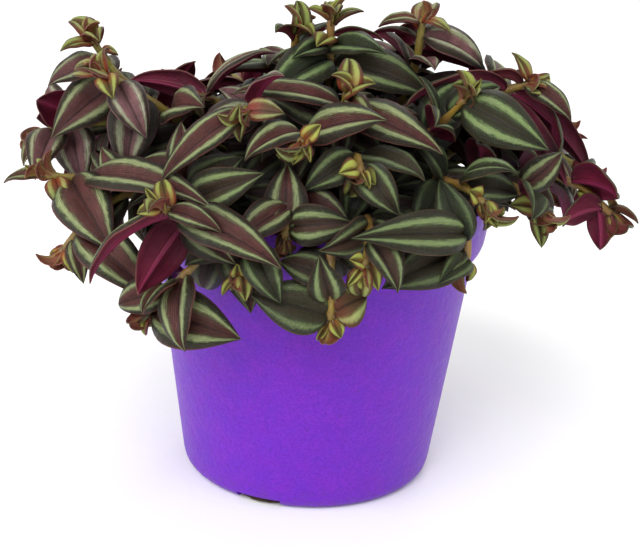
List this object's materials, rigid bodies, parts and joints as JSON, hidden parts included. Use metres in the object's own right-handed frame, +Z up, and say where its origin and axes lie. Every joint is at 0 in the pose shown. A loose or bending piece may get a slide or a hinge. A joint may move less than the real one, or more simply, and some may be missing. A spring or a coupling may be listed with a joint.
{
  "type": "potted tradescantia",
  "caption": "Bushy trailing house plant with pointed striped leaves, growing from potting soil in a round tapered plastic pot with a collar.",
  "frame": {"origin": "middle of the pot's flat underside, on the surface it stands on", "axes": "+Z up along the pot's axis, -Y is the front in the picture, +X to its right"},
  "size_m": [0.2061, 0.1712, 0.1665],
  "materials": {
    "pot_plastic": "moulded purple polypropylene, satin, faintly mottled",
    "potting_soil": "damp dark peat and bark crumbs with white perlite, matt",
    "foliage": "waxy leaf, dark purple-brown with two silvery green bands above, burgundy beneath, on yellow-green stems"
  },
  "bodies": {
    "root": {"pot": "pot_plastic", "soil": "potting_soil", "stem_left_top": "foliage", "stem_left_high": "foliage", "stem_left_mid": "foliage", "stem_left_far": "foliage", "stem_left_low": "foliage", "stem_front_arch": "foliage", "stem_left_hang": "foliage", "stem_front_curl": "foliage", "stem_front_hang": "foliage", "stem_front_right": "foliage", "stem_right_low": "foliage", "stem_front_mid": "foliage", "stem_front_inner": "foliage", "stem_front_low": "foliage", "stem_left_inner": "foliage", "stem_left_front": "foliage", "stem_high_front": "foliage", "stem_crown": "foliage", "stem_crown_left": "foliage", "stem_high_right": "foliage", "stem_right_top": "foliage", "stem_right_mid": "foliage", "stem_right_face": "foliage", "stem_right_small": "foliage", "stem_right_under": "foliage", "stem_right_far": "foliage", "stem_left_bow": "foliage", "stem_back_hang": "foliage", "stem_back_right": "foliage", "stem_right_back": "foliage", "stem_back_left": "foliage", "stem_left_back": "foliage", "stem_back_mid": "foliage", "stem_back_mid_right": "foliage", "stem_back_mid_left": "foliage", "stem_left_back_mid": "foliage", "stem_back_high_right": "foliage", "stem_back_high_left": "foliage", "stem_right_back_low": "foliage", "stem_left_back_low": "foliage"}
  },
  "joints": []
}
